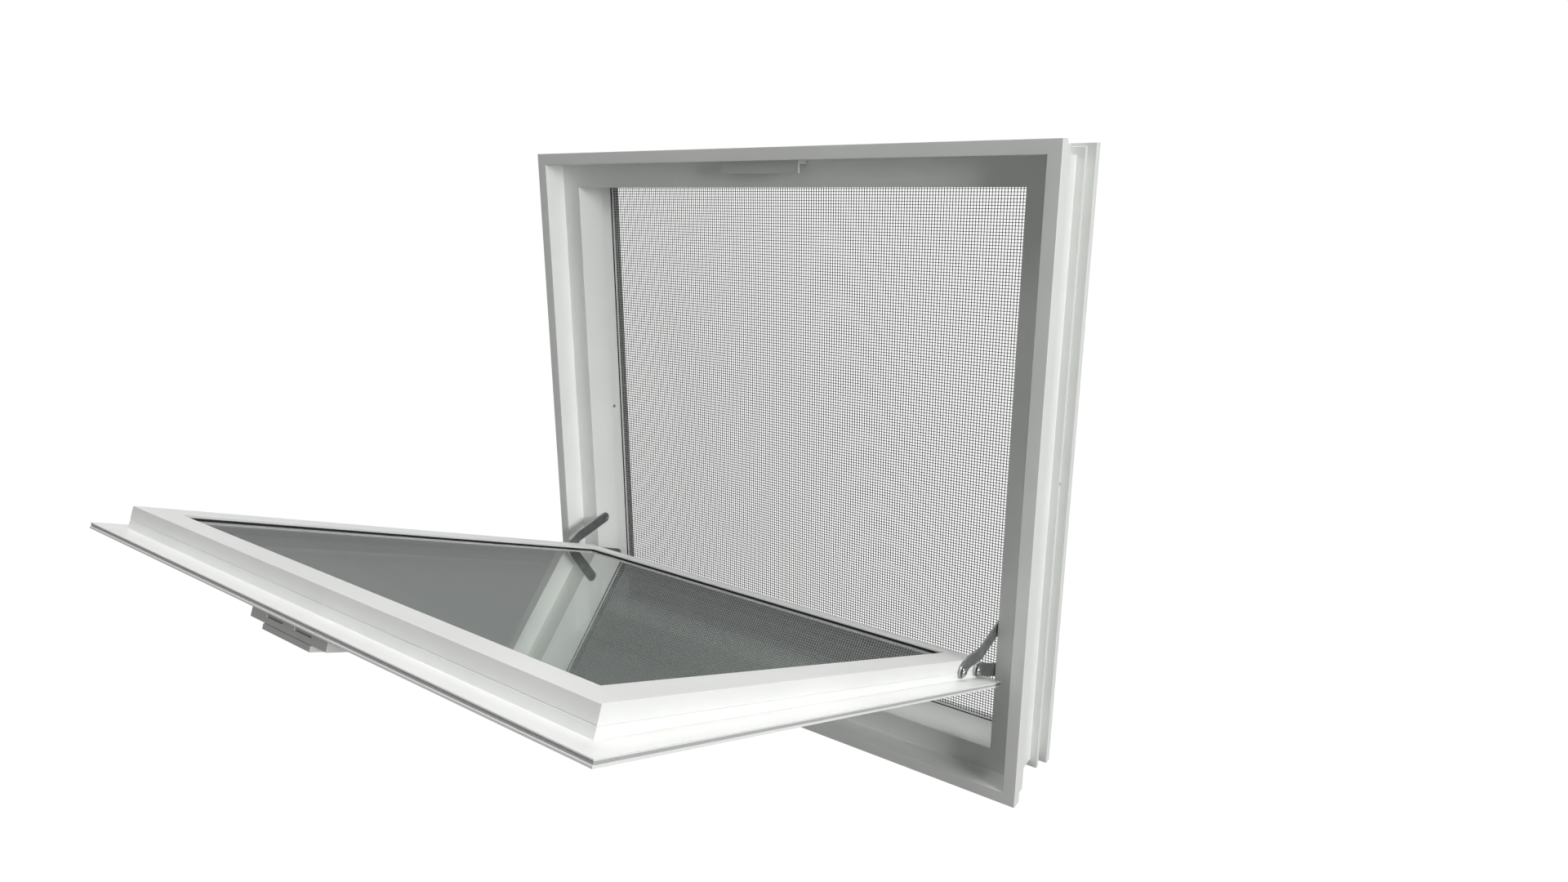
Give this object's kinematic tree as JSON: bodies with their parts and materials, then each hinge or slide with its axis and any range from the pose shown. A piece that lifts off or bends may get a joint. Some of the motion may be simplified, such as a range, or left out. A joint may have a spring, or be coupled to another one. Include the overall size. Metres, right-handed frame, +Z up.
{
  "type": "hopper window with in-swinging sash",
  "caption": "Square white vinyl window frame with an insect screen and a double-glazed sash that tips into the room on four-bar arms and latches at its top edge.",
  "frame": {"origin": "middle of the sill's foot, the underside of the front flange, centred across the window and halfway through the flange's 12 mm depth", "axes": "+X to the right seen from the room, +Y through the window to the outdoors, +Z up"},
  "size_m": [0.6, 0.5889, 0.6],
  "materials": {
    "frame_vinyl": "smooth white PVC extrusion, satin",
    "bead_vinyl": "white PVC snap-in bead, satin",
    "sash_vinyl": "smooth white PVC extrusion, satin",
    "screen_paint": "roll-formed aluminium, charcoal paint",
    "key_plastic": "black nylon",
    "spline_rubber": "black PVC cord",
    "screen_mesh": "dark grey glass-fibre insect mesh",
    "glass": "clear float glass",
    "spacer_metal": "mill-finish aluminium spacer bar",
    "gasket_rubber": "black rubber",
    "tape_foam": "grey foam glazing tape",
    "block_rubber": "black hard rubber",
    "weatherstrip": "grey pile weatherstrip",
    "arm_steel": "zinc-plated pressed steel strip",
    "rivet_steel": "bright plated steel",
    "stud_steel": "plated steel",
    "plate_steel": "zinc-plated steel",
    "washer_nylon": "natural nylon",
    "keeper_paint": "white powder coat",
    "latch_plastic": "white moulded plastic",
    "bolt_plastic": "white acetal",
    "screw_steel": "plated steel"
  },
  "bodies": {
    "frame": {"frame_head": "frame_vinyl", "frame_sill": "frame_vinyl", "frame_jamb_left": "frame_vinyl", "frame_jamb_right": "frame_vinyl", "screen_bead_bottom": "bead_vinyl", "screen_bead_top": "bead_vinyl", "screen_bead_left": "bead_vinyl", "screen_bead_right": "bead_vinyl", "screen_bar_bottom": "screen_paint", "screen_bar_top": "screen_paint", "screen_bar_left": "screen_paint", "screen_bar_right": "screen_paint", "screen_corner_keys": "key_plastic", "screen_spline": "spline_rubber", "insect_mesh": "screen_mesh", "keeper": "keeper_paint", "keeper_screws": "screw_steel", "long_arm_studs": "stud_steel", "short_arm_studs": "stud_steel", "jamb_washers": "washer_nylon", "jamb_plate_left": "plate_steel", "jamb_plate_right": "plate_steel"},
    "sash": {"sash_rail_bottom": "sash_vinyl", "sash_rail_top": "sash_vinyl", "sash_stile_left": "sash_vinyl", "sash_stile_right": "sash_vinyl", "glazing_bead_bottom": "sash_vinyl", "glazing_bead_top": "sash_vinyl", "glazing_bead_left": "sash_vinyl", "glazing_bead_right": "sash_vinyl", "glass_outer": "glass", "glass_inner": "glass", "glass_spacer": "spacer_metal", "gasket_outer": "gasket_rubber", "glazing_tape": "tape_foam", "setting_blocks": "block_rubber", "sash_weatherstrip": "weatherstrip", "latch_housing": "latch_plastic", "latch_screws": "screw_steel", "short_arm_rivets": "rivet_steel", "sash_washers": "washer_nylon", "sash_plate_left": "plate_steel", "sash_plate_right": "plate_steel"},
    "short_arm_right": {"short_arm_right": "arm_steel"},
    "short_arm_left": {"short_arm_left": "arm_steel"},
    "long_arm_right": {"long_arm_right": "arm_steel", "long_arm_rivet_right": "rivet_steel"},
    "long_arm_left": {"long_arm_left": "arm_steel", "long_arm_rivet_left": "rivet_steel"},
    "latch": {"latch_bolt": "bolt_plastic", "latch_grip": "latch_plastic"}
  },
  "joints": [
    {"name": "short_arm_right_swing", "type": "hinge", "parent": "frame", "child": "short_arm_right", "pos_m": [0.2615, 0.0489, 0.1097], "axis": [1, 0, 0], "range_deg": [0, 90.6]},
    {"name": "sash_tilt", "type": "hinge", "parent": "short_arm_right", "child": "sash", "pos_m": [0.2565, -0.00937, 0.13241], "axis": [1, 0, 0], "range_deg": [-159.3, 0]},
    {"name": "short_arm_left_swing", "type": "hinge", "parent": "frame", "child": "short_arm_left", "pos_m": [-0.2615, 0.0489, 0.1097], "axis": [1, 0, 0], "range_deg": [0, 90.6]},
    {"name": "long_arm_right_swing", "type": "hinge", "parent": "frame", "child": "long_arm_right", "pos_m": [0.2615, 0.0308, 0.164], "axis": [1, 0, 0], "range_deg": [0, 73.12]},
    {"name": "long_arm_left_swing", "type": "hinge", "parent": "frame", "child": "long_arm_left", "pos_m": [-0.2615, 0.0308, 0.164], "axis": [1, 0, 0], "range_deg": [0, 73.12]},
    {"name": "latch_slide", "type": "slide", "parent": "sash", "child": "latch", "axis": [0, -0.9317, 0.3632], "range_m": [0, 0.019]}
  ],
  "couplings": [
    {"joint": "sash_tilt", "follows": "short_arm_right_swing", "ratio": -1.7583},
    {"joint": "short_arm_left_swing", "follows": "short_arm_right_swing", "ratio": 1},
    {"joint": "long_arm_right_swing", "follows": "short_arm_right_swing", "ratio": 0.80702},
    {"joint": "long_arm_left_swing", "follows": "short_arm_right_swing", "ratio": 0.80702}
  ]
}
